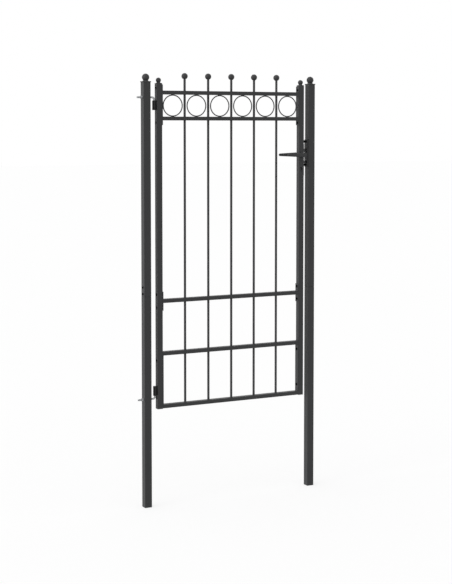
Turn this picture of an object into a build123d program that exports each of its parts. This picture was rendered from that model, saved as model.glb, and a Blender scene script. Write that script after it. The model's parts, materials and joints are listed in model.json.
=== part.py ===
"""Garden gate: a bolted steel leaf with bars and rings, hung on two posts, with a lever lock."""

import os
from math import radians, sin, sqrt, tan

from build123d import *

os.makedirs("parts", exist_ok=True)

# Posts, square tube in two lengths joined by an inner sleeve
POST_SIZE = 40.0
POST_WALL = 1.5
POST_CORNER = 1.8
POST_ABOVE_STILE = 6.0
SEAM_HEIGHT = 1121.0
SEAM_CHAMFER = 1.2
SLEEVE_LENGTH = 200.0
SLEEVE_WALL = 1.5
SLEEVE_CLEARANCE = 0.2
POST_SCREW_RISES = (13.5, 47.5)
POST_SCREW_SHANK = 5.0
POST_SCREW_HEAD = 13.0
POST_SCREW_HEAD_HEIGHT = 3.2
POST_SCREW_GRIP = 6.0
CROSS_RECESS_SPAN = 5.2
CROSS_RECESS_WIDTH = 1.3
CROSS_RECESS_DEPTH = 1.2
HEAD_DOME = 0.6

# Post caps
POST_BRIM_OVERHANG = 2.0
POST_BRIM_HEIGHT = 5.0
POST_NECK_FOOT = 39.0
POST_NECK_TOP = 26.0
POST_NECK_HEIGHT = 6.3
POST_BALL = 38.5
POST_BALL_LIFT = 20.3

# Leaf and its place between the posts
HINGE_GAP = 37.5
LATCH_GAP = 26.5
LEAF_WIDTH = 884.0
LEAF_FOOT = 519.0
STILE_SIZE = 30.0
STILE_WALL = 1.5
STILE_CORNER = 1.5
STILE_HEIGHT = 1716.0

# Stile caps
STILE_BRIM_HEIGHT = 2.5
STILE_NECK_FOOT = 27.0
STILE_NECK_TOP = 19.0
STILE_NECK_HEIGHT = 4.8
STILE_BALL = 27.5
STILE_BALL_LIFT = 14.7
CAP_PLUG_LENGTH = 14.0
CAP_PLUG_CLEARANCE = 0.2
CAP_BRIM_CHAMFER = 0.25
CAP_NECK_HOLLOW = 1.2

# Rails, flat-lying tube welded between end plates
RAIL_DEPTH = 30.0
RAIL_HEIGHT = 20.0
RAIL_WALL = 1.5
RAIL_CORNER = 1.2
TOP_RAIL_DROP = 46.6
MIDDLE_RAIL_RISE = 561.0
LOWER_RAIL_RISE = 281.7
BOTTOM_RAIL_LIFT = 2.0

# Bars, their balls and the rings between the two top rails
BAR_COUNT = 5
BAR_DIAMETER = 12.5
BAR_WALL = 1.2
BAR_HOLE_CLEARANCE = 0.1
BAR_BALL = 33.5
BAR_BALL_RISE = 87.0
RING_COUNT = BAR_COUNT + 1
RING_BAR_GAP = 4.95
RING_END_GAP = 5.2
RING_WIRE = 6.0

# End plates that bolt the panel of rails and bars to the stiles
PLATE_THICKNESS = 4.0
PLATE_WIDTH = 30.0
PLATE_CORNER = 1.5
TOP_BOLT_OFFSET = 22.5
TOP_PLATE_MARGIN = 19.5
RING_PLATE_MARGIN = 12.0
MIDDLE_BOLT_OFFSET = 35.0
MIDDLE_PLATE_MARGIN = 15.0
LOWER_BOLT_DROP = 36.5
BOTTOM_BOLT_RISE = 47.0
PANEL_BOLT = 8.0
PANEL_BOLT_CLEARANCE = 0.2
PANEL_BOLT_HEAD = 14.0
PANEL_BOLT_HEAD_HEIGHT = 4.4
PANEL_BOLT_EDGE = 2.6
PANEL_BOLT_SOCKET = 5.0
PANEL_BOLT_SOCKET_DEPTH = 2.6
PANEL_BOLT_SPARE = 2.0
PANEL_NUT_FLATS = 13.0
PANEL_NUT_HEIGHT = 6.5
ACCESS_HOLE = 16.0
SPARE_HOLE = 6.0

# Hinges: a bent threaded rod in the post and a welded barrel on the stile
BARREL_DIAMETER = 20.0
BARREL_LENGTH = 50.0
BARREL_STANDOFF = 16.5
WELD_WIDTH = 9.0
PINTLE_DIAMETER = 10.0
PINTLE_BEND = 12.5
PINTLE_CHAMFER = 1.0
PIN_ENGAGEMENT = 40.0
PIN_CLEARANCE = 0.05
PIN_END_CLEARANCE = 0.3
PINTLE_TAIL = 30.7
TOP_PINTLE_DROP = 72.3
BOTTOM_PINTLE_RISE = 55.7
ROD_HOLE_CLEARANCE = 0.3
ROD_NUT_FLATS = 16.0
ROD_NUT_HEIGHT = 8.0
NUT_CONE_ANGLE = 30.0
ROD_WASHER = 18.0
ROD_WASHER_THICKNESS = 2.0
INSERT_BODY = 13.0
INSERT_LENGTH = 15.0
INSERT_FLANGE = 16.0
INSERT_FLANGE_THICKNESS = 1.0

# Lock in the latch stile
SPINDLE_DROP = 380.0
SPINDLE_SIZE = 8.0
SPINDLE_CLEARANCE = 0.05
SPINDLE_HOLE = 14.0
KEYHOLE_DROP = 72.0
KEYHOLE_EYE = 12.0
KEYHOLE_SLOT = 7.0
KEYHOLE_LENGTH = 18.0
CASE_THICKNESS = 14.0
CASE_WALL = 1.2
CASE_CLEARANCE = 0.7
CASE_SLOT_CLEARANCE = 0.3
CASE_MARGIN = 7.0
FOREND_WIDTH = 22.0
FOREND_THICKNESS = 3.0
FOREND_OVERLAP = 18.0
FOREND_SCREW = 4.0
FOREND_SCREW_HEAD = 7.6
FOREND_SCREW_LENGTH = 12.0
BOLT_CLEARANCE = 0.3

# Latch bolt and deadbolt
LATCH_RISE = 24.0
LATCH_HEIGHT = 20.0
LATCH_THROW = 12.0
LATCH_ENGAGEMENT = 6.0
LATCH_NOSE = 3.0
LATCH_BEVEL_LENGTH = 8.0
LATCH_TAIL_WALL = 2.2
DEADBOLT_DROP = 39.0
DEADBOLT_HEIGHT = 12.0
DEADBOLT_SETBACK = 6.5
DEADBOLT_TAIL_GAP = 0.5
TALON_LENGTH = 11.0
TALON_NOTCH = 5.5
TALON_NOTCH_DEPTH = 7.0
KEY_BIT_REACH = 12.0

# Follower that the spindle turns
LEVER_TRAVEL = 40.0
FOLLOWER_HUB = 16.0
FOLLOWER_BOSS = 12.0
FOLLOWER_TIP = 5.0
FOLLOWER_NECK = 2.4
FOLLOWER_SIDE_CLEARANCE = 0.3
NOTCH_CLEARANCE = 0.25
NOTCH_DEPTH = 7.5

# Levers and roses
LEVER_REACH = 106.0
LEVER_HUB_HEIGHT = 24.5
LEVER_TIP_HEIGHT = 14.5
LEVER_THICKNESS = 12.0
LEVER_PROJECTION = 41.0
LEVER_EDGE = 4.5
LEVER_NECK = 17.0
LEVER_SETBACK = 0.4
LEVER_SOCKET_DEPTH = 32.0
ROSE_DIAMETER = 28.0
ROSE_HEIGHT = 7.0
ROSE_EDGE = 2.0
ROSE_CLEARANCE = 0.05
GRUB_SCREW = 5.0
GRUB_SCREW_OFFSET = 15.0

# Strike on the latch post
STRIKE_HEIGHT = 150.0
STRIKE_THICKNESS = 4.0
STRIKE_LIP = 8.0
STRIKE_EDGE = 1.5
STRIKE_INSET = 0.5
STRIKE_RISE = 9.0
STRIKE_SIDE_ROOM = 1.5
STRIKE_END_ROOM = 2.0
STRIKE_SCREW = 8.0
STRIKE_SCREW_HEAD = 13.0
STRIKE_SCREW_HEAD_HEIGHT = 8.0
STRIKE_SCREW_EDGE = 0.8
STRIKE_SCREW_SOCKET = 6.0
STRIKE_SCREW_SOCKET_DEPTH = 4.0
STRIKE_SCREW_LENGTH = 20.0
STRIKE_SCREW_SIDE_INSET = 7.5
STRIKE_SCREW_END_INSET = 11.0

# Places worked out from the sizes above
hinge_stile_x = POST_SIZE / 2 + HINGE_GAP + STILE_SIZE / 2
latch_stile_x = POST_SIZE / 2 + HINGE_GAP + LEAF_WIDTH - STILE_SIZE / 2
latch_post_x = POST_SIZE + HINGE_GAP + LEAF_WIDTH + LATCH_GAP
leaf_middle_x = (hinge_stile_x + latch_stile_x) / 2
panel_left = hinge_stile_x + STILE_SIZE / 2
panel_right = latch_stile_x - STILE_SIZE / 2
stile_top = LEAF_FOOT + STILE_HEIGHT
post_height = stile_top + POST_ABOVE_STILE
rail_length = panel_right - panel_left - 2 * PLATE_THICKNESS
bar_room = BAR_DIAMETER + 2 * RING_BAR_GAP
ring_diameter = (rail_length - 2 * RING_END_GAP - BAR_COUNT * bar_room) / RING_COUNT
bar_pitch = ring_diameter + bar_room

bottom_rail_z = LEAF_FOOT + BOTTOM_RAIL_LIFT + RAIL_HEIGHT / 2
lower_rail_z = bottom_rail_z + LOWER_RAIL_RISE
middle_rail_z = bottom_rail_z + MIDDLE_RAIL_RISE
top_rail_z = stile_top - TOP_RAIL_DROP
ring_rail_z = top_rail_z - RAIL_HEIGHT - ring_diameter
ring_z = (top_rail_z + ring_rail_z) / 2
bar_xs = [leaf_middle_x + bar_pitch * (i - (BAR_COUNT - 1) / 2) for i in range(BAR_COUNT)]
ring_xs = [leaf_middle_x + bar_pitch * (i - (RING_COUNT - 1) / 2) for i in range(RING_COUNT)]
bar_ball_z = top_rail_z + BAR_BALL_RISE

hinge_axis_x = hinge_stile_x - STILE_SIZE / 2 - BARREL_DIAMETER / 2
top_pintle_z = stile_top - TOP_PINTLE_DROP
bottom_pintle_z = LEAF_FOOT + BOTTOM_PINTLE_RISE
post_face = POST_SIZE / 2
stile_face = STILE_SIZE / 2

spindle_z = stile_top - SPINDLE_DROP
keyhole_z = spindle_z - KEYHOLE_DROP
latch_z = spindle_z + LATCH_RISE
deadbolt_z = spindle_z - DEADBOLT_DROP
strike_z = spindle_z + STRIKE_RISE
lock_face_x = latch_stile_x + stile_face
strike_face_x = latch_post_x - post_face - STRIKE_THICKNESS
case_back_x = panel_right + STILE_WALL + CASE_CLEARANCE
case_inner_back_x = case_back_x + CASE_WALL
case_top = latch_z + LATCH_HEIGHT / 2 + CASE_MARGIN
case_bottom = keyhole_z - KEYHOLE_LENGTH - CASE_MARGIN
case_middle_z = (case_top + case_bottom) / 2
case_height = case_top - case_bottom
case_inner_half = CASE_THICKNESS / 2 - CASE_WALL
bolt_half = case_inner_half - BOLT_CLEARANCE
follower_reach = LATCH_THROW / (2 * sin(radians(LEVER_TRAVEL / 2)))
follower_tip_shift = LATCH_THROW / 2

# Heights of the bolts in each end plate, and each plate's span
plate_bolts = {
    "upper": (top_rail_z + TOP_BOLT_OFFSET, ring_rail_z - TOP_BOLT_OFFSET),
    "middle": (middle_rail_z + MIDDLE_BOLT_OFFSET, middle_rail_z - MIDDLE_BOLT_OFFSET),
    "lower": (lower_rail_z - LOWER_BOLT_DROP, bottom_rail_z + BOTTOM_BOLT_RISE),
}
plate_spans = {
    "upper": (plate_bolts["upper"][0] + TOP_PLATE_MARGIN, plate_bolts["upper"][1] - RING_PLATE_MARGIN),
    "middle": (
        plate_bolts["middle"][0] + MIDDLE_PLATE_MARGIN,
        plate_bolts["middle"][1] - MIDDLE_PLATE_MARGIN,
    ),
    "lower": (lower_rail_z + RAIL_HEIGHT / 2, bottom_rail_z - RAIL_HEIGHT / 2),
}
bolt_heights = [z for heights in plate_bolts.values() for z in heights]
spare_hole_z = sum(plate_bolts["lower"]) / 2

LEFT = (-1, 0, 0)
RIGHT = (1, 0, 0)
FRONT = (0, -1, 0)
BACK = (0, 1, 0)
UP = (0, 0, 1)
DOWN = (0, 0, -1)
INWARD = (Align.CENTER, Align.CENTER, Align.MAX)
OUTWARD = (Align.CENTER, Align.CENTER, Align.MIN)


def save(builder, node):
    """Label a finished piece and write its STEP file."""
    builder.part.label = node
    export_step(builder.part, f"parts/{node}.step")


def facing(x, y, z, direction):
    """A plane at a point, looking out along a direction, its X level and its Y upright."""
    level = (1, 0, 0) if abs(direction[0]) < 0.5 else (0, 1, 0)
    return Plane(origin=(x, y, z), x_dir=level, z_dir=direction)


def box_tube(plane, width, height, wall, corner, length):
    """A length of square or oblong tube, standing on a plane."""
    with BuildPart() as tube:
        with BuildSketch(plane):
            RectangleRounded(width, height, corner)
            RectangleRounded(width - 2 * wall, height - 2 * wall, corner - wall / 2, mode=Mode.SUBTRACT)
        extrude(amount=length)
    return tube.part


def hex_nut(flats, height, bore):
    """A hexagon nut with coned corners, standing on its seat."""
    corner = flats / sqrt(3)
    cone = (corner - flats / 2) * tan(radians(NUT_CONE_ANGLE))
    with BuildPart() as nut:
        with BuildSketch():
            RegularPolygon(flats / 2, 6, major_radius=False)
        extrude(amount=height)
        with BuildSketch(Plane.XZ):
            with BuildLine():
                Polyline(
                    (0, 0),
                    (flats / 2, 0),
                    (corner, cone),
                    (corner, height - cone),
                    (flats / 2, height),
                    (0, height),
                    close=True,
                )
            make_face()
        revolve(axis=Axis.Z, mode=Mode.INTERSECT)
        Cylinder(bore / 2, 2 * height, mode=Mode.SUBTRACT)
    return nut.part


def pan_screw(shank, head, head_height, length):
    """A screw with a domed, cross-recessed head above its seat and a plain shank below it."""
    with BuildPart() as screw:
        Cylinder(head / 2, head_height, align=OUTWARD)
        fillet(screw.edges().group_by(Axis.Z)[-1], HEAD_DOME * head_height)
        Cylinder(shank / 2, length, align=INWARD)
        with BuildSketch(Plane.XY.offset(head_height)):
            Rectangle(CROSS_RECESS_SPAN, CROSS_RECESS_WIDTH)
            Rectangle(CROSS_RECESS_WIDTH, CROSS_RECESS_SPAN)
        extrude(amount=-CROSS_RECESS_DEPTH, mode=Mode.SUBTRACT)
    return screw.part


def socket_screw(shank, head, head_height, edge, socket, socket_depth, length):
    """A screw with a rounded head above its seat, a hexagon socket and a plain shank below it."""
    with BuildPart() as screw:
        Cylinder(head / 2, head_height, align=OUTWARD)
        fillet(screw.edges().group_by(Axis.Z)[-1], edge)
        Cylinder(shank / 2, length, align=INWARD)
        with BuildSketch(Plane.XY.offset(head_height)):
            RegularPolygon(socket / 2, 6, major_radius=False)
        extrude(amount=-socket_depth, mode=Mode.SUBTRACT)
    return screw.part


def ball_cap(x, seat_z, tube, wall, brim, brim_height, neck, ball, ball_lift):
    """A cap that plugs a tube: a square brim, a hollow-sided neck and a ball."""
    neck_foot, neck_top, neck_height = neck
    plug = tube - 2 * wall - 2 * CAP_PLUG_CLEARANCE
    with BuildPart() as cap:
        with BuildSketch(Plane((x, 0, seat_z))):
            RectangleRounded(plug, plug, wall)
        extrude(amount=-CAP_PLUG_LENGTH)
        with BuildSketch(Plane((x, 0, seat_z))):
            RectangleRounded(brim, brim, wall)
        extrude(amount=brim_height)
        chamfer(cap.edges().group_by(Axis.Z)[-1], CAP_BRIM_CHAMFER * brim_height)
        with BuildSketch(Plane((x, 0, seat_z + brim_height), x_dir=RIGHT, z_dir=FRONT)):
            with BuildLine():
                foot = (neck_foot / 2, 0)
                top = (neck_top / 2, neck_height)
                RadiusArc(foot, top, CAP_NECK_HOLLOW * neck_height)
                Polyline(top, (0, neck_height), (0, 0), foot)
            make_face()
        revolve(axis=Axis((x, 0, 0), UP))
        with Locations((x, 0, seat_z + brim_height + ball_lift)):
            Sphere(ball / 2)
    return cap


def post(x, outer, pintle_heights=()):
    """The lower and upper lengths of a post, with its screw holes and hinge rod holes."""
    lengths = {"lower": (0, SEAM_HEIGHT), "upper": (SEAM_HEIGHT, post_height)}
    outer_x = x + outer[0] * post_face
    for half, (foot, head) in lengths.items():
        with BuildPart() as tube:
            add(box_tube(Plane((x, 0, foot)), POST_SIZE, POST_SIZE, POST_WALL, POST_CORNER, head - foot))
            seam_face = tube.faces().sort_by(Axis.Z)[0 if half == "upper" else -1]
            chamfer(seam_face.outer_wire().edges(), SEAM_CHAMFER)
            if half == "upper":
                with Locations([facing(outer_x, 0, SEAM_HEIGHT + rise, outer) for rise in POST_SCREW_RISES]):
                    Cylinder(POST_SCREW_SHANK / 2, post_face, align=INWARD, mode=Mode.SUBTRACT)
            for z in pintle_heights:
                if foot < z < head:
                    with Locations(facing(x - post_face, 0, z, LEFT)):
                        rod_hole = PINTLE_DIAMETER / 2 + ROD_HOLE_CLEARANCE
                        Cylinder(rod_hole, post_face, align=INWARD, mode=Mode.SUBTRACT)
                    with Locations(facing(x + post_face, 0, z, RIGHT)):
                        Cylinder(INSERT_BODY / 2, post_face, align=INWARD, mode=Mode.SUBTRACT)
        yield half, tube


def sleeve(x, outer):
    """The inner sleeve across a post's seam, with pilot holes for its two screws."""
    size = POST_SIZE - 2 * POST_WALL - 2 * SLEEVE_CLEARANCE
    foot = SEAM_HEIGHT - SLEEVE_LENGTH / 2
    outer_x = x + outer[0] * post_face
    with BuildPart() as tube:
        add(box_tube(Plane((x, 0, foot)), size, size, SLEEVE_WALL, POST_WALL, SLEEVE_LENGTH))
        with Locations([facing(outer_x, 0, SEAM_HEIGHT + rise, outer) for rise in POST_SCREW_RISES]):
            Cylinder(POST_SCREW_SHANK / 2, post_face, align=INWARD, mode=Mode.SUBTRACT)
    return tube


def strike_window(bolt_height):
    """Width and height of the opening that a bolt enters."""
    return 2 * bolt_half + 2 * STRIKE_SIDE_ROOM, bolt_height + 2 * STRIKE_END_ROOM


strike_windows = [
    (latch_z, *strike_window(LATCH_HEIGHT)),
    (deadbolt_z, *strike_window(DEADBOLT_HEIGHT)),
]
strike_screw_y = post_face - STRIKE_INSET - STRIKE_SCREW_SIDE_INSET
strike_screw_rise = STRIKE_HEIGHT / 2 - STRIKE_SCREW_END_INSET
strike_screw_places = [
    facing(strike_face_x, side * strike_screw_y, strike_z + end * strike_screw_rise, LEFT)
    for side in (-1, 1)
    for end in (-1, 1)
]

# Hinge post
for half, tube in post(0, LEFT, (top_pintle_z, bottom_pintle_z)):
    save(tube, f"hinge_post_{half}")
save(sleeve(0, LEFT), "hinge_post_sleeve")

# Latch post, with the openings behind the strike
for half, tube in post(latch_post_x, RIGHT):
    if half == "upper":
        with tube:
            for z, width, height in strike_windows:
                with Locations((latch_post_x - post_face, 0, z)):
                    Box(POST_SIZE / 2, width, height, mode=Mode.SUBTRACT)
            with Locations(strike_screw_places):
                Cylinder(STRIKE_SCREW / 2, STRIKE_SCREW_LENGTH, align=INWARD, mode=Mode.SUBTRACT)
    save(tube, f"latch_post_{half}")
save(sleeve(latch_post_x, RIGHT), "latch_post_sleeve")

# Post caps and the screws through the sleeves
post_neck = (POST_NECK_FOOT, POST_NECK_TOP, POST_NECK_HEIGHT)
post_brim = POST_SIZE + 2 * POST_BRIM_OVERHANG
for side, x in (("hinge", 0), ("latch", latch_post_x)):
    cap = ball_cap(
        x, post_height, POST_SIZE, POST_WALL,
        post_brim, POST_BRIM_HEIGHT, post_neck, POST_BALL, POST_BALL_LIFT,
    )
    save(cap, f"{side}_post_cap")

post_screw = pan_screw(POST_SCREW_SHANK, POST_SCREW_HEAD, POST_SCREW_HEAD_HEIGHT, POST_SCREW_GRIP)
with BuildPart() as post_screws:
    for rise in POST_SCREW_RISES:
        with Locations(
            facing(-post_face, 0, SEAM_HEIGHT + rise, LEFT),
            facing(latch_post_x + post_face, 0, SEAM_HEIGHT + rise, RIGHT),
        ):
            add(post_screw)
save(post_screws, "post_screws")

# Hinge rods: level through the post, then bent into the barrel's axis
for node, z, bend in (("top_pintle", top_pintle_z, -1), ("bottom_pintle", bottom_pintle_z, 1)):
    tail = (-post_face - PINTLE_TAIL, 0, z)
    pin_end = (hinge_axis_x, 0, z + bend * (BARREL_STANDOFF + PIN_ENGAGEMENT))
    with BuildPart() as pintle:
        with BuildLine():
            FilletPolyline(tail, (hinge_axis_x, 0, z), pin_end, radius=PINTLE_BEND)
        with BuildSketch(facing(*tail, RIGHT)):
            Circle(PINTLE_DIAMETER / 2)
        sweep()
        chamfer(pintle.edges().filter_by(GeomType.CIRCLE).sort_by(Axis.X)[0], PINTLE_CHAMFER)
    save(pintle, node)

rod_heights = (top_pintle_z, bottom_pintle_z)
with BuildPart() as pintle_washers:
    with Locations([facing(-post_face, 0, z, LEFT) for z in rod_heights]):
        Cylinder(ROD_WASHER / 2, ROD_WASHER_THICKNESS, align=OUTWARD)
        Cylinder(PINTLE_DIAMETER / 2, ROD_WASHER_THICKNESS, align=OUTWARD, mode=Mode.SUBTRACT)
save(pintle_washers, "pintle_washers")

rod_nut = hex_nut(ROD_NUT_FLATS, ROD_NUT_HEIGHT, PINTLE_DIAMETER)
with BuildPart() as pintle_nuts:
    with Locations([facing(-post_face - ROD_WASHER_THICKNESS, 0, z, LEFT) for z in rod_heights]):
        add(rod_nut)
save(pintle_nuts, "pintle_nuts")

with BuildPart() as thread_inserts:
    with Locations([facing(post_face, 0, z, RIGHT) for z in rod_heights]):
        Cylinder(INSERT_FLANGE / 2, INSERT_FLANGE_THICKNESS, align=OUTWARD)
        Cylinder(INSERT_BODY / 2, INSERT_LENGTH, align=INWARD)
        Cylinder(PINTLE_DIAMETER / 2, 3 * INSERT_LENGTH, mode=Mode.SUBTRACT)
save(thread_inserts, "thread_inserts")

# Strike plate, its front edge bent towards the leaf as a stop
strike_front = STRIKE_INSET - post_face
with BuildPart() as strike_plate:
    with BuildSketch(Plane.XY.offset(strike_z - STRIKE_HEIGHT / 2)):
        with BuildLine():
            Polyline(
                (latch_post_x - post_face, -strike_front),
                (strike_face_x, -strike_front),
                (strike_face_x, strike_front),
                (strike_face_x - STRIKE_LIP, strike_front),
                (strike_face_x - STRIKE_LIP, strike_front - STRIKE_THICKNESS),
                (latch_post_x - post_face, strike_front - STRIKE_THICKNESS),
                close=True,
            )
        make_face()
    extrude(amount=STRIKE_HEIGHT)
    fillet(strike_plate.edges().filter_by(Axis.Z).sort_by(Axis.Y)[:2], STRIKE_EDGE)
    for z, width, height in strike_windows:
        with Locations((strike_face_x, 0, z)):
            Box(4 * STRIKE_THICKNESS, width, height, mode=Mode.SUBTRACT)
    with Locations(strike_screw_places):
        Cylinder(STRIKE_SCREW / 2, STRIKE_SCREW_LENGTH, align=INWARD, mode=Mode.SUBTRACT)
save(strike_plate, "strike_plate")

strike_screw = socket_screw(
    STRIKE_SCREW, STRIKE_SCREW_HEAD, STRIKE_SCREW_HEAD_HEIGHT, STRIKE_SCREW_EDGE,
    STRIKE_SCREW_SOCKET, STRIKE_SCREW_SOCKET_DEPTH, STRIKE_SCREW_LENGTH,
)
with BuildPart() as strike_screws:
    with Locations(strike_screw_places):
        add(strike_screw)
save(strike_screws, "strike_screws")


def stile(x, inner):
    """A stile with its bolt holes in the inner wall and tool holes in the outer wall."""
    inner_x = x + inner[0] * stile_face
    outer_x = x - inner[0] * stile_face
    outer = (-inner[0], 0, 0)
    bolt_hole = PANEL_BOLT / 2 + PANEL_BOLT_CLEARANCE
    with BuildPart() as tube:
        foot = Plane((x, 0, LEAF_FOOT))
        add(box_tube(foot, STILE_SIZE, STILE_SIZE, STILE_WALL, STILE_CORNER, STILE_HEIGHT))
        with Locations([facing(inner_x, 0, z, inner) for z in bolt_heights]):
            Cylinder(bolt_hole, stile_face, align=INWARD, mode=Mode.SUBTRACT)
        with Locations([facing(outer_x, 0, z, outer) for z in bolt_heights]):
            Cylinder(ACCESS_HOLE / 2, stile_face, align=INWARD, mode=Mode.SUBTRACT)
        with Locations(facing(outer_x, 0, spare_hole_z, outer)):
            Cylinder(SPARE_HOLE / 2, stile_face, align=INWARD, mode=Mode.SUBTRACT)
    return tube


def keyhole(plane):
    """The keyhole's outline on a plane: a round eye over a narrow slot."""
    with BuildSketch(plane) as outline:
        Circle(KEYHOLE_EYE / 2)
        with Locations((0, -KEYHOLE_LENGTH / 2)):
            Rectangle(KEYHOLE_SLOT, KEYHOLE_LENGTH)
    return outline.sketch


forend_screw_rise = case_height / 2 + FOREND_OVERLAP / 2
forend_screw_places = [
    facing(lock_face_x + FOREND_THICKNESS, 0, case_middle_z + end * forend_screw_rise, RIGHT)
    for end in (-1, 1)
]
keyhole_back = facing(latch_stile_x, STILE_SIZE, keyhole_z, FRONT)

# Stiles
hinge_stile = stile(hinge_stile_x, RIGHT)
save(hinge_stile, "hinge_stile")

latch_stile = stile(latch_stile_x, LEFT)
with latch_stile:
    slot_height = case_height + 2 * CASE_SLOT_CLEARANCE
    slot_width = CASE_THICKNESS + 2 * CASE_SLOT_CLEARANCE
    with Locations((lock_face_x, 0, case_middle_z)):
        Box(STILE_SIZE / 2, slot_width, slot_height, mode=Mode.SUBTRACT)
    with Locations(facing(latch_stile_x, 0, spindle_z, FRONT)):
        Cylinder(SPINDLE_HOLE / 2, 2 * STILE_SIZE, mode=Mode.SUBTRACT)
    extrude(keyhole(keyhole_back), amount=2 * STILE_SIZE, mode=Mode.SUBTRACT)
    with Locations(forend_screw_places):
        Cylinder(FOREND_SCREW / 2, FOREND_SCREW_LENGTH, align=INWARD, mode=Mode.SUBTRACT)
save(latch_stile, "latch_stile")

stile_neck = (STILE_NECK_FOOT, STILE_NECK_TOP, STILE_NECK_HEIGHT)
for side, x in (("hinge", hinge_stile_x), ("latch", latch_stile_x)):
    cap = ball_cap(
        x, stile_top, STILE_SIZE, STILE_WALL,
        STILE_SIZE, STILE_BRIM_HEIGHT, stile_neck, STILE_BALL, STILE_BALL_LIFT,
    )
    save(cap, f"{side}_stile_cap")

# Rails
rail_start = panel_left + PLATE_THICKNESS
bar_hole = BAR_DIAMETER / 2 + BAR_HOLE_CLEARANCE
rail_heights = {
    "top_rail": top_rail_z,
    "ring_rail": ring_rail_z,
    "middle_rail": middle_rail_z,
    "lower_rail": lower_rail_z,
    "bottom_rail": bottom_rail_z,
}
for node, z in rail_heights.items():
    end = facing(rail_start, 0, z, RIGHT)
    with BuildPart() as rail:
        add(box_tube(end, RAIL_DEPTH, RAIL_HEIGHT, RAIL_WALL, RAIL_CORNER, rail_length))
        if node != "bottom_rail":
            with Locations([(x, 0, z) for x in bar_xs]):
                Cylinder(bar_hole, 2 * RAIL_HEIGHT, mode=Mode.SUBTRACT)
    save(rail, node)

# Bars, standing on the bottom rail and running up into their balls
bar_foot = bottom_rail_z + RAIL_HEIGHT / 2
for number, x in enumerate(bar_xs, start=1):
    with BuildPart() as bar:
        with BuildSketch(Plane((x, 0, bar_foot))):
            Circle(BAR_DIAMETER / 2)
            Circle(BAR_DIAMETER / 2 - BAR_WALL, mode=Mode.SUBTRACT)
        extrude(amount=bar_ball_z - bar_foot)
    save(bar, f"bar_{number}")

with BuildPart() as bar_balls:
    with Locations([(x, 0, bar_ball_z) for x in bar_xs]):
        Sphere(BAR_BALL / 2)
        Cylinder(BAR_DIAMETER / 2, BAR_BALL, align=INWARD, mode=Mode.SUBTRACT)
save(bar_balls, "bar_balls")

# Rings, welded to the rails above and below them
for number, x in enumerate(ring_xs, start=1):
    with BuildPart() as ring:
        with Locations(facing(x, 0, ring_z, FRONT)):
            Torus((ring_diameter - RING_WIRE) / 2, RING_WIRE / 2)
    save(ring, f"ring_{number}")

# End plates
panel_sides = (("hinge", panel_left, RIGHT), ("latch", panel_right, LEFT))
for side, x, inner in panel_sides:
    for place, (top, foot) in plate_spans.items():
        with BuildPart() as plate:
            with BuildSketch(facing(x, 0, (top + foot) / 2, inner)):
                RectangleRounded(PLATE_WIDTH, top - foot, PLATE_CORNER)
            extrude(amount=PLATE_THICKNESS)
            with Locations([facing(x, 0, z, inner) for z in plate_bolts[place]]):
                Cylinder(PANEL_BOLT / 2 + PANEL_BOLT_CLEARANCE, 4 * PLATE_THICKNESS, mode=Mode.SUBTRACT)
        save(plate, f"{side}_{place}_plate")

# Bolts from the panel into the stiles, with nuts inside the tubes
bolt_length = PLATE_THICKNESS + STILE_WALL + PANEL_NUT_HEIGHT + PANEL_BOLT_SPARE
panel_bolt = socket_screw(
    PANEL_BOLT, PANEL_BOLT_HEAD, PANEL_BOLT_HEAD_HEIGHT, PANEL_BOLT_EDGE,
    PANEL_BOLT_SOCKET, PANEL_BOLT_SOCKET_DEPTH, bolt_length,
)
with BuildPart() as panel_bolts:
    for side, x, inner in panel_sides:
        with Locations([facing(x + inner[0] * PLATE_THICKNESS, 0, z, inner) for z in bolt_heights]):
            add(panel_bolt)
save(panel_bolts, "panel_bolts")

panel_nut = hex_nut(PANEL_NUT_FLATS, PANEL_NUT_HEIGHT, PANEL_BOLT)
with BuildPart() as panel_nuts:
    for side, x, inner in panel_sides:
        outer = (-inner[0], 0, 0)
        with Locations([facing(x + outer[0] * STILE_WALL, 0, z, outer) for z in bolt_heights]):
            add(panel_nut)
save(panel_nuts, "panel_nuts")

# Hinge barrels, each with a blind bore and a weld to the stile
barrel_mouths = (
    ("top_barrel", top_pintle_z - BARREL_STANDOFF, UP),
    ("bottom_barrel", bottom_pintle_z + BARREL_STANDOFF, DOWN),
)
for node, mouth_z, opening in barrel_mouths:
    mouth = facing(hinge_axis_x, 0, mouth_z, opening)
    with BuildPart() as barrel:
        with BuildSketch(mouth):
            Circle(BARREL_DIAMETER / 2)
            Rectangle(BARREL_DIAMETER / 2, WELD_WIDTH, align=(Align.MIN, Align.CENTER))
        extrude(amount=-BARREL_LENGTH)
        with Locations(mouth):
            bore = PINTLE_DIAMETER / 2 + PIN_CLEARANCE
            Cylinder(bore, PIN_ENGAGEMENT + PIN_END_CLEARANCE, align=INWARD, mode=Mode.SUBTRACT)
    save(barrel, node)

# Lock case, open towards the forend and on its back, where the cover closes it
case_depth = lock_face_x - case_back_x
case_middle_x = case_back_x + case_depth / 2
with BuildPart() as lock_case:
    with BuildSketch(facing(case_middle_x, case_inner_half, case_middle_z, FRONT)):
        Rectangle(case_depth, case_height)
    extrude(amount=CASE_THICKNESS - CASE_WALL)
    with BuildSketch(facing(case_inner_back_x, case_inner_half, case_middle_z, FRONT)):
        Rectangle(case_depth, case_height - 2 * CASE_WALL, align=(Align.MIN, Align.CENTER))
    extrude(amount=2 * case_inner_half, mode=Mode.SUBTRACT)
    with Locations(facing(latch_stile_x, 0, spindle_z, FRONT)):
        Cylinder(FOLLOWER_BOSS / 2 + PIN_CLEARANCE, CASE_THICKNESS, mode=Mode.SUBTRACT)
    extrude(keyhole(keyhole_back), amount=2 * STILE_SIZE, mode=Mode.SUBTRACT)
save(lock_case, "lock_case")

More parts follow.
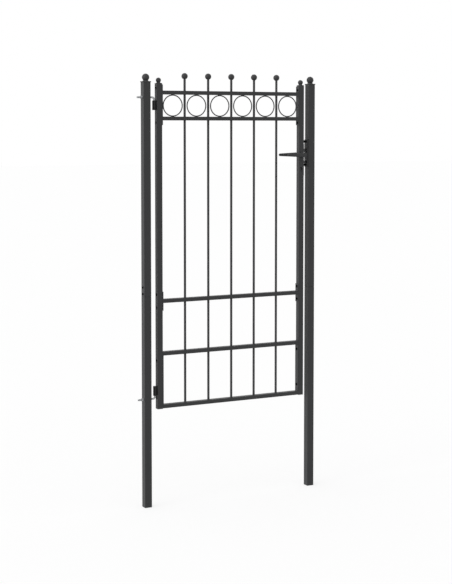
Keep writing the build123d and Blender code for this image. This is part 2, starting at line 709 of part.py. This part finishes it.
with BuildPart() as lock_cover:
    with BuildSketch(facing(case_middle_x, CASE_THICKNESS / 2, case_middle_z, FRONT)):
        Rectangle(case_depth, case_height)
    extrude(amount=CASE_WALL)
    with Locations(facing(latch_stile_x, 0, spindle_z, FRONT)):
        Cylinder(FOLLOWER_BOSS / 2 + PIN_CLEARANCE, 2 * CASE_THICKNESS, mode=Mode.SUBTRACT)
    extrude(keyhole(keyhole_back), amount=2 * STILE_SIZE, mode=Mode.SUBTRACT)
save(lock_cover, "lock_cover")

# Forend over the edge of the case
with BuildPart() as lock_forend:
    with BuildSketch(facing(lock_face_x, 0, case_middle_z, RIGHT)):
        RectangleRounded(FOREND_WIDTH, case_height + 2 * FOREND_OVERLAP, FOREND_THICKNESS)
    extrude(amount=FOREND_THICKNESS)
    for z, height in ((latch_z, LATCH_HEIGHT), (deadbolt_z, DEADBOLT_HEIGHT)):
        with Locations((lock_face_x, 0, z)):
            Box(
                4 * FOREND_THICKNESS,
                2 * bolt_half + 2 * BOLT_CLEARANCE,
                height + 2 * BOLT_CLEARANCE,
                mode=Mode.SUBTRACT,
            )
    with Locations(forend_screw_places):
        CounterSinkHole(FOREND_SCREW / 2, FOREND_SCREW_HEAD / 2, 2 * FOREND_THICKNESS)
save(lock_forend, "lock_forend")

head_depth = (FOREND_SCREW_HEAD - FOREND_SCREW) / 2
with BuildPart() as forend_screws:
    with Locations(forend_screw_places):
        Cone(FOREND_SCREW / 2, FOREND_SCREW_HEAD / 2, head_depth, align=INWARD)
        Cylinder(FOREND_SCREW / 2, FOREND_SCREW_LENGTH, align=INWARD)
save(forend_screws, "forend_screws")

# Latch bolt: a bevelled nose, and a notch under its tail for the follower's tip
latch_tip_x = strike_face_x + LATCH_ENGAGEMENT
notch_x = latch_stile_x + follower_tip_shift
notch_half = FOLLOWER_TIP / 2 + NOTCH_CLEARANCE
latch_tail_x = notch_x - notch_half - LATCH_TAIL_WALL
with BuildPart() as latch_bolt:
    with BuildSketch(facing(latch_tail_x, bolt_half, latch_z, FRONT)):
        Rectangle(latch_tip_x - latch_tail_x, LATCH_HEIGHT, align=(Align.MIN, Align.CENTER))
        with Locations((notch_x - latch_tail_x, -LATCH_HEIGHT / 2)):
            Rectangle(2 * notch_half, 2 * NOTCH_DEPTH, mode=Mode.SUBTRACT)
    extrude(amount=2 * bolt_half)
    with BuildSketch(Plane.XY.offset(latch_z - LATCH_HEIGHT)):
        with BuildLine():
            Polyline(
                (latch_tip_x - LATCH_BEVEL_LENGTH, -bolt_half),
                (latch_tip_x, bolt_half - LATCH_NOSE),
                (latch_tip_x, -bolt_half),
                close=True,
            )
        make_face()
    extrude(amount=2 * LATCH_HEIGHT, mode=Mode.SUBTRACT)
save(latch_bolt, "latch_bolt")

# Deadbolt, with a talon that the key's bit moves
deadbolt_tip_x = strike_face_x - DEADBOLT_SETBACK
deadbolt_tail_x = case_inner_back_x + DEADBOLT_TAIL_GAP
talon_foot = keyhole_z + KEY_BIT_REACH
with BuildPart() as deadbolt:
    with BuildSketch(facing(0, bolt_half, 0, FRONT)):
        with Locations((deadbolt_tail_x, deadbolt_z)):
            Rectangle(deadbolt_tip_x - deadbolt_tail_x, DEADBOLT_HEIGHT, align=(Align.MIN, Align.CENTER))
        with Locations((deadbolt_tail_x, deadbolt_z)):
            Rectangle(TALON_LENGTH, deadbolt_z - talon_foot, align=(Align.MIN, Align.MAX))
        with Locations((deadbolt_tail_x + TALON_LENGTH / 2, talon_foot)):
            Rectangle(TALON_NOTCH, 2 * TALON_NOTCH_DEPTH, mode=Mode.SUBTRACT)
    extrude(amount=2 * bolt_half)
save(deadbolt, "deadbolt")

# Follower: a hub on the spindle, with an arm whose round tip moves the latch bolt
follower_half = case_inner_half - FOLLOWER_SIDE_CLEARANCE
spindle_hole = SPINDLE_SIZE + 2 * SPINDLE_CLEARANCE
spindle_axis = facing(latch_stile_x, 0, spindle_z, FRONT)
with BuildPart() as follower:
    with BuildSketch(spindle_axis.offset(-follower_half)):
        Circle(FOLLOWER_HUB / 2)
        with Locations(Location((0, 0), -LEVER_TRAVEL / 2)):
            Rectangle(FOLLOWER_NECK, follower_reach, align=(Align.CENTER, Align.MIN))
        with PolarLocations(follower_reach, 1, start_angle=90 - LEVER_TRAVEL / 2):
            Circle(FOLLOWER_TIP / 2)
    extrude(amount=2 * follower_half)
    with Locations(spindle_axis):
        Cylinder(FOLLOWER_BOSS / 2, CASE_THICKNESS)
        Box(spindle_hole, spindle_hole, 2 * CASE_THICKNESS, mode=Mode.SUBTRACT)
save(follower, "follower")

# Levers on both faces, sharing one square spindle
rose_bore = LEVER_NECK / 2 + ROSE_CLEARANCE
grip_middle = stile_face + LEVER_PROJECTION - LEVER_THICKNESS / 2
neck_start = stile_face + LEVER_SETBACK
grub_screw_y = neck_start + GRUB_SCREW_OFFSET
for node, direction in (("front_lever", FRONT), ("rear_lever", BACK)):
    face = facing(latch_stile_x, 0, spindle_z, direction)
    with BuildPart() as lever:
        with BuildSketch(face.offset(grip_middle - LEVER_THICKNESS / 2)):
            with Locations((0, 0)):
                Circle(LEVER_HUB_HEIGHT / 2)
            with Locations((-(LEVER_REACH - LEVER_TIP_HEIGHT / 2), 0)):
                Circle(LEVER_TIP_HEIGHT / 2)
            make_hull()
        extrude(amount=LEVER_THICKNESS)
        fillet(lever.edges().filter_by(Plane.XZ), LEVER_EDGE)
        with BuildSketch(face.offset(neck_start)):
            Circle(LEVER_NECK / 2)
        extrude(amount=grip_middle - neck_start)
        with BuildSketch(face.offset(neck_start)):
            Rectangle(spindle_hole, spindle_hole)
        extrude(amount=LEVER_SOCKET_DEPTH, mode=Mode.SUBTRACT)
        with Locations(facing(latch_stile_x, direction[1] * grub_screw_y, spindle_z, DOWN)):
            Cylinder(GRUB_SCREW / 2, LEVER_NECK, align=OUTWARD, mode=Mode.SUBTRACT)
    save(lever, node)

spindle_half = neck_start + LEVER_SOCKET_DEPTH
with BuildPart() as spindle:
    with Locations((latch_stile_x, 0, spindle_z)):
        Box(SPINDLE_SIZE, 2 * spindle_half, SPINDLE_SIZE)
save(spindle, "spindle")

with BuildPart() as grub_screws:
    for direction in (FRONT, BACK):
        seat = spindle_z - SPINDLE_SIZE / 2
        with Locations(facing(latch_stile_x, direction[1] * grub_screw_y, seat, DOWN)):
            Cylinder(GRUB_SCREW / 2, (LEVER_NECK - SPINDLE_SIZE) / 2, align=OUTWARD)
save(grub_screws, "grub_screws")

with BuildPart() as lever_roses:
    for direction in (FRONT, BACK):
        with BuildSketch(facing(latch_stile_x, direction[1] * stile_face, spindle_z, direction)):
            Circle(ROSE_DIAMETER / 2)
        extrude(amount=ROSE_HEIGHT)
    fillet((lever_roses.edges().sort_by(Axis.Y)[0], lever_roses.edges().sort_by(Axis.Y)[-1]), ROSE_EDGE)
    with Locations(spindle_axis):
        Cylinder(rose_bore, 2 * LEVER_PROJECTION, mode=Mode.SUBTRACT)
save(lever_roses, "lever_roses")
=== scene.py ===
"""Studio scene of a steel garden gate: powder coat, zinc and black hardware, welds and rod threads."""

import json
from math import cos, pi, radians, sin, tau

import bmesh
import bpy
from mathutils import Matrix, Vector


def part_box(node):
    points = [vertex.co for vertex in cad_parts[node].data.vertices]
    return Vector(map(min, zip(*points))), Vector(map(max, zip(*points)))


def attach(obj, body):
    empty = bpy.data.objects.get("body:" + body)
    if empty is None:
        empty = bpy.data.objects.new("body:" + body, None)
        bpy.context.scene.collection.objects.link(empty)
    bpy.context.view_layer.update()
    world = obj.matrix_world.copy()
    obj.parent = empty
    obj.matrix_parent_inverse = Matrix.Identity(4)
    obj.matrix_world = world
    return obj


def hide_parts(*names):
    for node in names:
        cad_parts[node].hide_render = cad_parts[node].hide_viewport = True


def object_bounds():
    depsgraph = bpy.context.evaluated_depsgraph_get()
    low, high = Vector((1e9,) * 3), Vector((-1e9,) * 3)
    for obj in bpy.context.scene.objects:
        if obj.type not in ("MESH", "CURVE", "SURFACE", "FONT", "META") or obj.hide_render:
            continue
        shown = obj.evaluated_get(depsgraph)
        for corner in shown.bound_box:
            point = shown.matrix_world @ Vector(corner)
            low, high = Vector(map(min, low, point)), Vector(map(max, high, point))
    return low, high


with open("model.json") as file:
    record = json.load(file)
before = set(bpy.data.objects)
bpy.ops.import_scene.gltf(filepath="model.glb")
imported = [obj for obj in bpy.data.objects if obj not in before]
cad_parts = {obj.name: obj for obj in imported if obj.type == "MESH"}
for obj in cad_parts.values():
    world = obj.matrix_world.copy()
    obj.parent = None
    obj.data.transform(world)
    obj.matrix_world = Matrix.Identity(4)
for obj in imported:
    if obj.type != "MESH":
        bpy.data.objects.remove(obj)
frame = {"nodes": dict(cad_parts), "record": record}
cad_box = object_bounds()
nodes = frame["nodes"]

MM = 0.001
X_AXIS = Vector((1, 0, 0))
Z_AXIS = Vector((0, 0, 1))

# Camera, matched to the photograph's viewpoint
CAMERA_PLACE = Vector((-2.8008, -6.478, 2.0098))
CAMERA_HEADING = radians(26.775)
CAMERA_TILT = radians(3.539)
CAMERA_LENS = 83.252
CAMERA_SENSOR = 36
CAMERA_SHIFT = -0.14
CAMERA_REACH = 100

# Colours of the finishes, the darker and the paler of each
COAT_GREY = (0.034, 0.0345, 0.036)
COAT_GREY_PALE = (0.040, 0.0405, 0.042)
SATIN_BLACK = (0.015, 0.015, 0.016)
SATIN_BLACK_PALE = (0.021, 0.021, 0.022)
OXIDE_BLACK = (0.004, 0.004, 0.004)
OXIDE_BLACK_PALE = (0.008, 0.008, 0.008)
ZINC_DARK = (0.36, 0.37, 0.38)
ZINC_PALE = (0.56, 0.57, 0.58)
PLATED_DARK = (0.24, 0.24, 0.25)
PLATED_PALE = (0.40, 0.40, 0.41)

# Rolling lines on plated steel: many across and few along the height, per metre
ROLLING_LINES = (900.0, 900.0, 40.0)

# Floor: its own tone takes the shadow, and the glow makes it white to the camera
FLOOR_REACH = 60.0
FLOOR_TONE = (0.25, 0.25, 0.25)
FLOOR_GLOW = 0.73

# Light: the sky's level, its growth towards the left and upwards, and one broad sun
SKY_LIGHT = 0.42
SKY_LEAN = 0.32
SKY_RISE = 0.75
SKY_WHITE = (1, 1, 1, 1)
LEFT_SUN = 1.1
LEFT_SUN_FROM = Vector((-0.93, -0.08, 0.36))
LEFT_SUN_SPREAD = radians(40)

# Weld beads: radii, and the shape that all beads share
RAIL_BEAD = 1.7 * MM
BAR_BEAD = 0.9 * MM
RING_BEAD = 1.5 * MM
BARREL_BEAD = 1.6 * MM
BEAD_PITCH = 1.8 * MM
BEAD_NECK = 0.78
BEAD_TAIL = 0.35
BEAD_SIDES = 8
BAR_BEAD_STEPS = 20

# Places of the beads at rings and barrels
RING_BEAD_LENGTH = 13 * MM
RING_BEAD_ASIDE = 0.4
RING_BEAD_INSET = RING_BEAD * 0.5
BARREL_SEAT_HALF = 4.5 * MM
BARREL_BEAD_ASIDE = BARREL_BEAD * 0.4
BARREL_BEAD_PROUD = BARREL_BEAD * 0.5

# Hinge rods and their thread
THREAD_PITCH = 1.5 * MM
THREAD_DEPTH = 0.85 * MM
THREAD_SINK = 0.1 * MM
THREAD_FOOT = 0.98
THREAD_STEPS = 20
ROD_BEND = 12.5 * MM
ROD_BEND_STEPS = 10
ROD_CHAMFER = 1.0 * MM
ROD_RUN_OUT = 3.0 * MM
ROD_SIDES = 24

# Points of a mesh closer than this are one point
MERGE_DISTANCE = 0.001 * MM

# Repeated pieces
RAILS = ("top_rail", "ring_rail", "middle_rail", "lower_rail", "bottom_rail")
BARS = [name for name in nodes if name.startswith("bar_") and name != "bar_balls"]
RINGS = [name for name in nodes if name.startswith("ring_") and name != "ring_rail"]
BARRELS = ("top_barrel", "bottom_barrel")
RODS = ("top_pintle", "bottom_pintle")


class Wire:
    """A shader socket that takes part in Python expressions; each operator adds one Math node."""

    def __init__(self, finish, socket):
        self.finish = finish
        self.socket = socket

    def math(self, operation, first, second):
        return self.finish.node("ShaderNodeMath", {"operation": operation}, {0: first, 1: second})

    def __add__(self, other):
        return self.math("ADD", self, other)

    def __radd__(self, other):
        return self.math("ADD", other, self)

    def __sub__(self, other):
        return self.math("SUBTRACT", self, other)

    def __rsub__(self, other):
        return self.math("SUBTRACT", other, self)

    def __mul__(self, other):
        return self.math("MULTIPLY", self, other)

    def __rmul__(self, other):
        return self.math("MULTIPLY", other, self)


class Finish:
    """A material whose nodes are all added by one method."""

    def __init__(self, name):
        self.material = bpy.data.materials.new(name)
        self.material.use_nodes = True
        self.tree = self.material.node_tree
        self.tree.nodes.clear()

    def node(self, kind, settings=None, inputs=None, output=0):
        """A new node with its settings and then its inputs; gives back one output, if it has any."""
        made = self.tree.nodes.new(kind)
        for name, value in (settings or {}).items():
            if name == "stops":
                self.set_stops(made.color_ramp.elements, value)
            else:
                setattr(made, name, value)
        for key, value in (inputs or {}).items():
            if isinstance(value, Wire):
                self.tree.links.new(value.socket, made.inputs[key])
            else:
                made.inputs[key].default_value = value
        return Wire(self, made.outputs[output]) if made.outputs else made

    @staticmethod
    def set_stops(elements, stops):
        for element, (place, value) in zip(elements, stops):
            element.position = place
            element.color = (value, value, value, 1)

    def outputs(self, kind, names, inputs=None):
        """Several outputs of one new node."""
        sockets = self.node(kind, inputs=inputs).socket.node.outputs
        return [Wire(self, sockets[name]) for name in names]

    def place(self):
        """The object's own coordinates, in metres."""
        return self.node("ShaderNodeTexCoord", output="Object")

    def stretched(self, vector, scale):
        return self.node("ShaderNodeMapping", inputs={"Vector": vector, "Scale": scale})

    def noise(self, vector, scale, detail=3.0, roughness=0.5):
        inputs = {"Vector": vector, "Scale": scale, "Detail": detail, "Roughness": roughness}
        return self.node("ShaderNodeTexNoise", inputs=inputs, output="Fac")

    def crystals(self, vector, scale):
        """Cells with one random value each."""
        colour = self.node("ShaderNodeTexVoronoi", inputs={"Vector": vector, "Scale": scale}, output="Color")
        return self.node("ShaderNodeSeparateColor", inputs={"Color": colour})

    def band(self, wire, low, high):
        """A wire's values from low to high, spread over 0 to 1."""
        return self.node("ShaderNodeValToRGB", {"stops": ((low, 0.0), (high, 1.0))}, {"Fac": wire})

    def blend(self, factor, first, second):
        """A colour between two others."""
        inputs = {"Factor": factor, "A": (*first, 1), "B": (*second, 1)}
        return self.node("ShaderNodeMix", {"data_type": "RGBA"}, inputs, output=2)

    def bump(self, height, distance, strength):
        inputs = {"Height": height, "Distance": distance, "Strength": strength}
        return self.node("ShaderNodeBump", inputs=inputs)

    def surface(self, **inputs):
        """The finished material; an input's name has _ for each space."""
        sockets = {name.replace("_", " "): value for name, value in inputs.items()}
        shader = self.node("ShaderNodeBsdfPrincipled", inputs=sockets)
        self.node("ShaderNodeOutputMaterial", inputs={"Surface": shader})
        return self.material


class Surroundings(Finish):
    """The world's own nodes, added in the same way."""

    def __init__(self, name):
        world = bpy.data.worlds.new(name)
        world.use_nodes = True
        self.tree = world.node_tree
        self.tree.nodes.clear()
        bpy.context.scene.world = world


def between(wire, low, high):
    """A wire's 0 to 1 as values from low to high."""
    return low + (high - low) * wire


def mixture(first, second, share):
    """Two wires added, the first with this share and the second with the rest."""
    return first * share + second * (1 - share)


def powder_coat():
    """Matt anthracite powder coat: a fine even grain over a slow, faint change of tone."""
    finish = Finish("powder_coat")
    place = finish.place()
    drift = finish.band(finish.noise(place, scale=7.0), low=0.35, high=0.65)
    peel = finish.noise(place, scale=420.0, detail=2.0)
    grain = finish.noise(place, scale=1500.0, detail=4.0, roughness=0.65)
    speck = finish.band(grain, low=0.55, high=0.75)
    tone = mixture(drift, speck, share=0.5)
    relief = mixture(peel, grain, share=0.6)
    return finish.surface(
        Base_Color=finish.blend(tone, COAT_GREY, COAT_GREY_PALE),
        Roughness=between(grain, low=0.44, high=0.56),
        Normal=finish.bump(relief, distance=0.12 * MM, strength=0.2),
        Specular_IOR_Level=0.36,
    )


def satin_black():
    """Satin black paint on the strike, the lock's forend and the hinge barrels."""
    finish = Finish("black_hardware")
    place = finish.place()
    peel = finish.noise(place, scale=600.0, detail=2.0)
    rub = finish.band(finish.noise(place, scale=90.0, detail=5.0), low=0.5, high=0.7)
    return finish.surface(
        Base_Color=finish.blend(rub, SATIN_BLACK, SATIN_BLACK_PALE),
        Roughness=between(rub, low=0.36, high=0.46) + 0.06 * peel,
        Normal=finish.bump(peel, distance=0.08 * MM, strength=0.2),
        Specular_IOR_Level=0.28,
    )


def black_oxide():
    """Matt black oxide on screws, bolts and nuts."""
    finish = Finish("black_oxide")
    cloud = finish.noise(finish.place(), scale=240.0, detail=4.0)
    return finish.surface(
        Base_Color=finish.blend(cloud, OXIDE_BLACK, OXIDE_BLACK_PALE),
        Roughness=between(cloud, low=0.55, high=0.70),
        Normal=finish.bump(cloud, distance=0.05 * MM, strength=0.2),
        Specular_IOR_Level=0.04,
    )


def galvanised():
    """Dull zinc with small crystals."""
    finish = Finish("galvanised")
    place = finish.place()
    facet = finish.crystals(place, scale=380.0)
    cloud = finish.noise(place, scale=160.0, detail=4.0)
    tone = mixture(facet, cloud, share=0.6)
    return finish.surface(
        Base_Color=finish.blend(tone, ZINC_DARK, ZINC_PALE),
        Metallic=0.85,
        Roughness=between(tone, low=0.36, high=0.58),
        Normal=finish.bump(cloud, distance=0.06 * MM, strength=0.3),
    )


def plated_steel():
    """Zinc-plated steel of the lock and its bolts, with fine rolling lines."""
    finish = Finish("lock_steel")
    lines = finish.noise(finish.stretched(finish.place(), ROLLING_LINES), scale=1.0)
    return finish.surface(
        Base_Color=finish.blend(lines, PLATED_DARK, PLATED_PALE),
        Metallic=0.9,
        Roughness=between(lines, low=0.3, high=0.5),
        Normal=finish.bump(lines, distance=0.04 * MM, strength=0.3),
    )


finishes = {
    "powder_coat": powder_coat(),
    "black_hardware": satin_black(),
    "black_oxide": black_oxide(),
    "galvanised": galvanised(),
    "lock_steel": plated_steel(),
}


def dress_frame():
    """Each CAD node gets its slot's finish."""
    for subpart in frame["record"]["subparts"]:
        for slot in nodes[subpart["node"]].material_slots:
            slot.material = finishes[subpart["material_slot"]]


def corners(node):
    """A node's lowest and highest corners at rest."""
    low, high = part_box(node)
    return Vector(low), Vector(high)


def middle(node):
    low, high = corners(node)
    return (low + high) / 2


def add_object(name, data):
    made = bpy.data.objects.new(name, data)
    bpy.context.collection.objects.link(made)
    return made


def add_mesh(name, mesh, material):
    """A finished bmesh as an object at the origin."""
    data = bpy.data.meshes.new(name)
    mesh.to_mesh(data)
    mesh.free()
    data.materials.append(material)
    return add_object(name, data)


def new_piece(name, mesh, body, slot):
    """A finished bmesh as a smooth piece that rides on a body and takes a slot's finish."""
    bmesh.ops.remove_doubles(mesh, verts=mesh.verts, dist=MERGE_DISTANCE)
    bmesh.ops.recalc_face_normals(mesh, faces=mesh.faces)
    for face in mesh.faces:
        face.smooth = True
    piece = add_mesh(name, mesh, finishes[slot])
    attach(piece, body)
    return piece


def skin(mesh, stations, closed, sides):
    """A tube of circles at the stations, each (point, direction, radius), bridged into one skin."""
    loops = []
    for point, direction, radius in stations:
        turn = direction.to_track_quat("Z", "Y").to_matrix().to_4x4()
        ring = bmesh.ops.create_circle(
            mesh, segments=sides, radius=radius, cap_ends=False, matrix=Matrix.Translation(point) @ turn
        )
        loops.append(list({edge for vert in ring["verts"] for edge in vert.link_edges}))
    for first, second in zip(loops, loops[1:]):
        bmesh.ops.bridge_loops(mesh, edges=first + second)
    if closed:
        bmesh.ops.bridge_loops(mesh, edges=loops[-1] + loops[0])
    else:
        bmesh.ops.contextual_create(mesh, geom=loops[0])
        bmesh.ops.contextual_create(mesh, geom=loops[-1])


def weld(mesh, points, radius, closed=False):
    """A bead that swells and narrows along its path like laid-down drops, thin at an open path's ends."""
    last = len(points) - 1
    stations = []
    for step, point in enumerate(points):
        before = points[step - 1] if closed or step else point
        after = points[(step + 1) % len(points)] if closed or step < last else point
        size = radius if step % 2 else radius * BEAD_NECK
        if not closed and step in (0, last):
            size = radius * BEAD_TAIL
        stations.append((point, after - before, size))
    skin(mesh, stations, closed, BEAD_SIDES)


def along(start, end):
    """Points from start to end, about a bead's pitch apart."""
    steps = max(2, round((end - start).length / BEAD_PITCH))
    return [start.lerp(end, step / steps) for step in range(steps + 1)]


def rail_welds():
    """A bead above and below each end of each rail, left out at the head and the foot of the lower plates."""
    mesh = bmesh.new()
    for rail in RAILS:
        low, high = corners(rail)
        levels = {"lower_rail": (low.z,), "bottom_rail": (high.z,)}.get(rail, (low.z, high.z))
        for x in (low.x, high.x):
            for z in levels:
                front = Vector((x, low.y + RAIL_BEAD, z))
                back = Vector((x, high.y - RAIL_BEAD, z))
                weld(mesh, along(front, back), RAIL_BEAD)
    new_piece("rail_welds", mesh, "leaf", "powder_coat")


def bar_welds():
    """A thin bead round each bar where it meets a rail; none under the bottom rail."""
    mesh = bmesh.new()
    turns = [tau * step / BAR_BEAD_STEPS for step in range(BAR_BEAD_STEPS)]
    for bar in BARS:
        low, high = corners(bar)
        radius = (high.x - low.x) / 2
        for rail in RAILS:
            foot, head = corners(rail)
            levels = (head.z,) if rail == "bottom_rail" else (foot.z, head.z)
            for z in levels:
                heart = Vector((*middle(bar).xy, z))
                route = [heart + radius * Vector((cos(turn), sin(turn), 0)) for turn in turns]
                weld(mesh, route, BAR_BEAD, closed=True)
    new_piece("bar_welds", mesh, "leaf", "powder_coat")


def ring_welds():
    """Two short beads at the top and two at the foot of each ring, in front and behind."""
    mesh = bmesh.new()
    reach = X_AXIS * RING_BEAD_LENGTH / 2
    for ring in RINGS:
        low, high = corners(ring)
        wire = high.y - low.y
        for z in (low.z + RING_BEAD_INSET, high.z - RING_BEAD_INSET):
            for side in (-1, 1):
                heart = Vector((middle(ring).x, side * wire * RING_BEAD_ASIDE, z))
                weld(mesh, along(heart - reach, heart + reach), RING_BEAD)
    new_piece("ring_welds", mesh, "leaf", "powder_coat")


def barrel_welds():
    """Upright beads in the corners between each hinge barrel and the stile."""
    mesh = bmesh.new()
    x = corners("hinge_stile")[0].x - BARREL_BEAD_PROUD
    for barrel in BARRELS:
        low, high = corners(barrel)
        for side in (-1, 1):
            y = side * (BARREL_SEAT_HALF + BARREL_BEAD_ASIDE)
            foot = Vector((x, y, low.z + BARREL_BEAD))
            head = Vector((x, y, high.z - BARREL_BEAD))
            weld(mesh, along(foot, head), BARREL_BEAD)
    new_piece("barrel_welds", mesh, "leaf", "black_hardware")


def thread(mesh, start, length, radius):
    """A screw thread along +X: a small triangle spun round the rod while it moves along."""
    root = radius - THREAD_DEPTH - THREAD_SINK
    outline = ((0, root), (THREAD_PITCH / 2, radius), (THREAD_PITCH * THREAD_FOOT, root))
    verts = [mesh.verts.new(start + Vector((x, 0, rise))) for x, rise in outline]
    edges = [mesh.edges.new((verts[side - 1], verts[side])) for side in range(len(verts))]
    steps = round(length / THREAD_PITCH * THREAD_STEPS)
    spun = bmesh.ops.spin(
        mesh,
        geom=verts + edges,
        cent=start,
        axis=X_AXIS,
        dvec=X_AXIS * THREAD_PITCH / THREAD_STEPS,
        angle=tau * steps / THREAD_STEPS,
        steps=steps,
        use_merge=False,
        use_duplicate=False,
    )
    bmesh.ops.contextual_create(mesh, geom=edges)
    last = [item for item in spun["geom_last"] if isinstance(item, bmesh.types.BMEdge)]
    bmesh.ops.contextual_create(mesh, geom=last)


def hinge_rod(node):
    """A bent hinge rod: threaded through the post, then plain round the bend and into the barrel."""
    low, high = corners(node)
    radius = (high.y - low.y) / 2
    core = radius - THREAD_DEPTH
    upward = node == "bottom_pintle"
    rise = 1 if upward else -1
    level = low.z + radius if upward else high.z - radius
    pin_end = high.z if upward else low.z
    pin_x = high.x - radius
    turn_x = pin_x - ROD_BEND
    thread_start = low.x + ROD_CHAMFER
    thread_end = turn_x - ROD_RUN_OUT
    depth = middle(node).y

    def at(x):
        return Vector((x, depth, level))

    stations = [
        (at(low.x), X_AXIS, core - ROD_CHAMFER),
        (at(thread_start), X_AXIS, core),
        (at(thread_end), X_AXIS, core),
        (at(thread_end + THREAD_DEPTH), X_AXIS, radius),
    ]
    for step in range(ROD_BEND_STEPS + 1):
        angle = pi / 2 * step / ROD_BEND_STEPS
        point = at(turn_x) + ROD_BEND * Vector((sin(angle), 0, rise * (1 - cos(angle))))
        stations.append((point, Vector((cos(angle), 0, rise * sin(angle))), radius))
    tip = Vector((pin_x, depth, pin_end))
    stations.append((tip - Z_AXIS * rise * ROD_CHAMFER, Z_AXIS * rise, radius))
    stations.append((tip, Z_AXIS * rise, radius - ROD_CHAMFER))
    mesh = bmesh.new()
    skin(mesh, stations, False, ROD_SIDES)
    thread(mesh, at(thread_start), thread_end - THREAD_PITCH - thread_start, radius)
    piece = new_piece(node + "_rod", mesh, "posts", "galvanised")
    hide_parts(node)


def white_rays(finish):
    """1 on the rays that show the surroundings: seen by the camera, in gloss or through glass."""
    kinds = ("Is Camera Ray", "Is Glossy Ray", "Is Transmission Ray")
    eye, gloss, glass = finish.outputs("ShaderNodeLightPath", kinds)
    return finish.node("ShaderNodeClamp", inputs={"Value": eye + gloss + glass})


def floor():
    """A floor under the gate, white to the camera, that keeps a faint shadow."""
    mesh = bmesh.new()
    bmesh.ops.create_grid(mesh, x_segments=1, y_segments=1, size=FLOOR_REACH)
    bmesh.ops.translate(mesh, verts=mesh.verts, vec=(0, 0, cad_box[0].z))
    finish = Finish("floor")
    shaded = finish.node("ShaderNodeBsdfDiffuse", inputs={"Color": (*FLOOR_TONE, 1)})
    glow = finish.node("ShaderNodeEmission", inputs={"Strength": white_rays(finish) * FLOOR_GLOW})
    both = finish.node("ShaderNodeAddShader", inputs={0: shaded, 1: glow})
    finish.node("ShaderNodeOutputMaterial", inputs={"Surface": both})
    add_mesh("floor", mesh, finish.material)


def surroundings():
    """White to the camera and in gloss; the light itself is strongest from the left and from above."""
    finish = Surroundings("surroundings")
    heading = finish.node("ShaderNodeTexCoord", output="Generated")
    across, upward = finish.outputs("ShaderNodeSeparateXYZ", ("X", "Z"), {"Vector": heading})
    light = SKY_LIGHT - SKY_LEAN * across + SKY_RISE * upward
    soft = finish.node("ShaderNodeMath", {"operation": "MAXIMUM"}, {0: light, 1: 0.0})
    strength = soft + white_rays(finish) * (1.0 - soft)
    sky = finish.node("ShaderNodeBackground", inputs={"Color": SKY_WHITE, "Strength": strength})
    finish.node("ShaderNodeOutputWorld", inputs={"Surface": sky})


def left_sun():
    """A broad, soft sun from the viewer's left."""
    lamp = bpy.data.lights.new("left_sun", "SUN")
    lamp.energy = LEFT_SUN
    lamp.angle = LEFT_SUN_SPREAD
    add_object("left_sun", lamp).rotation_euler = LEFT_SUN_FROM.to_track_quat("Z", "Y").to_euler()


def camera():
    """The photograph's viewpoint."""
    lens = bpy.data.cameras.new("camera")
    lens.sensor_fit = "AUTO"
    lens.sensor_width = CAMERA_SENSOR
    lens.lens = CAMERA_LENS
    lens.shift_y = CAMERA_SHIFT
    lens.clip_end = CAMERA_REACH
    holder = add_object("camera", lens)
    holder.location = CAMERA_PLACE
    holder.rotation_euler = (pi / 2 - CAMERA_TILT, 0, -CAMERA_HEADING)
    bpy.context.scene.camera = holder


dress_frame()
rail_welds()
bar_welds()
ring_welds()
barrel_welds()
for rod in RODS:
    hinge_rod(rod)

floor()
surroundings()
left_sun()
camera()

bpy.context.scene.view_settings.view_transform = "Standard"
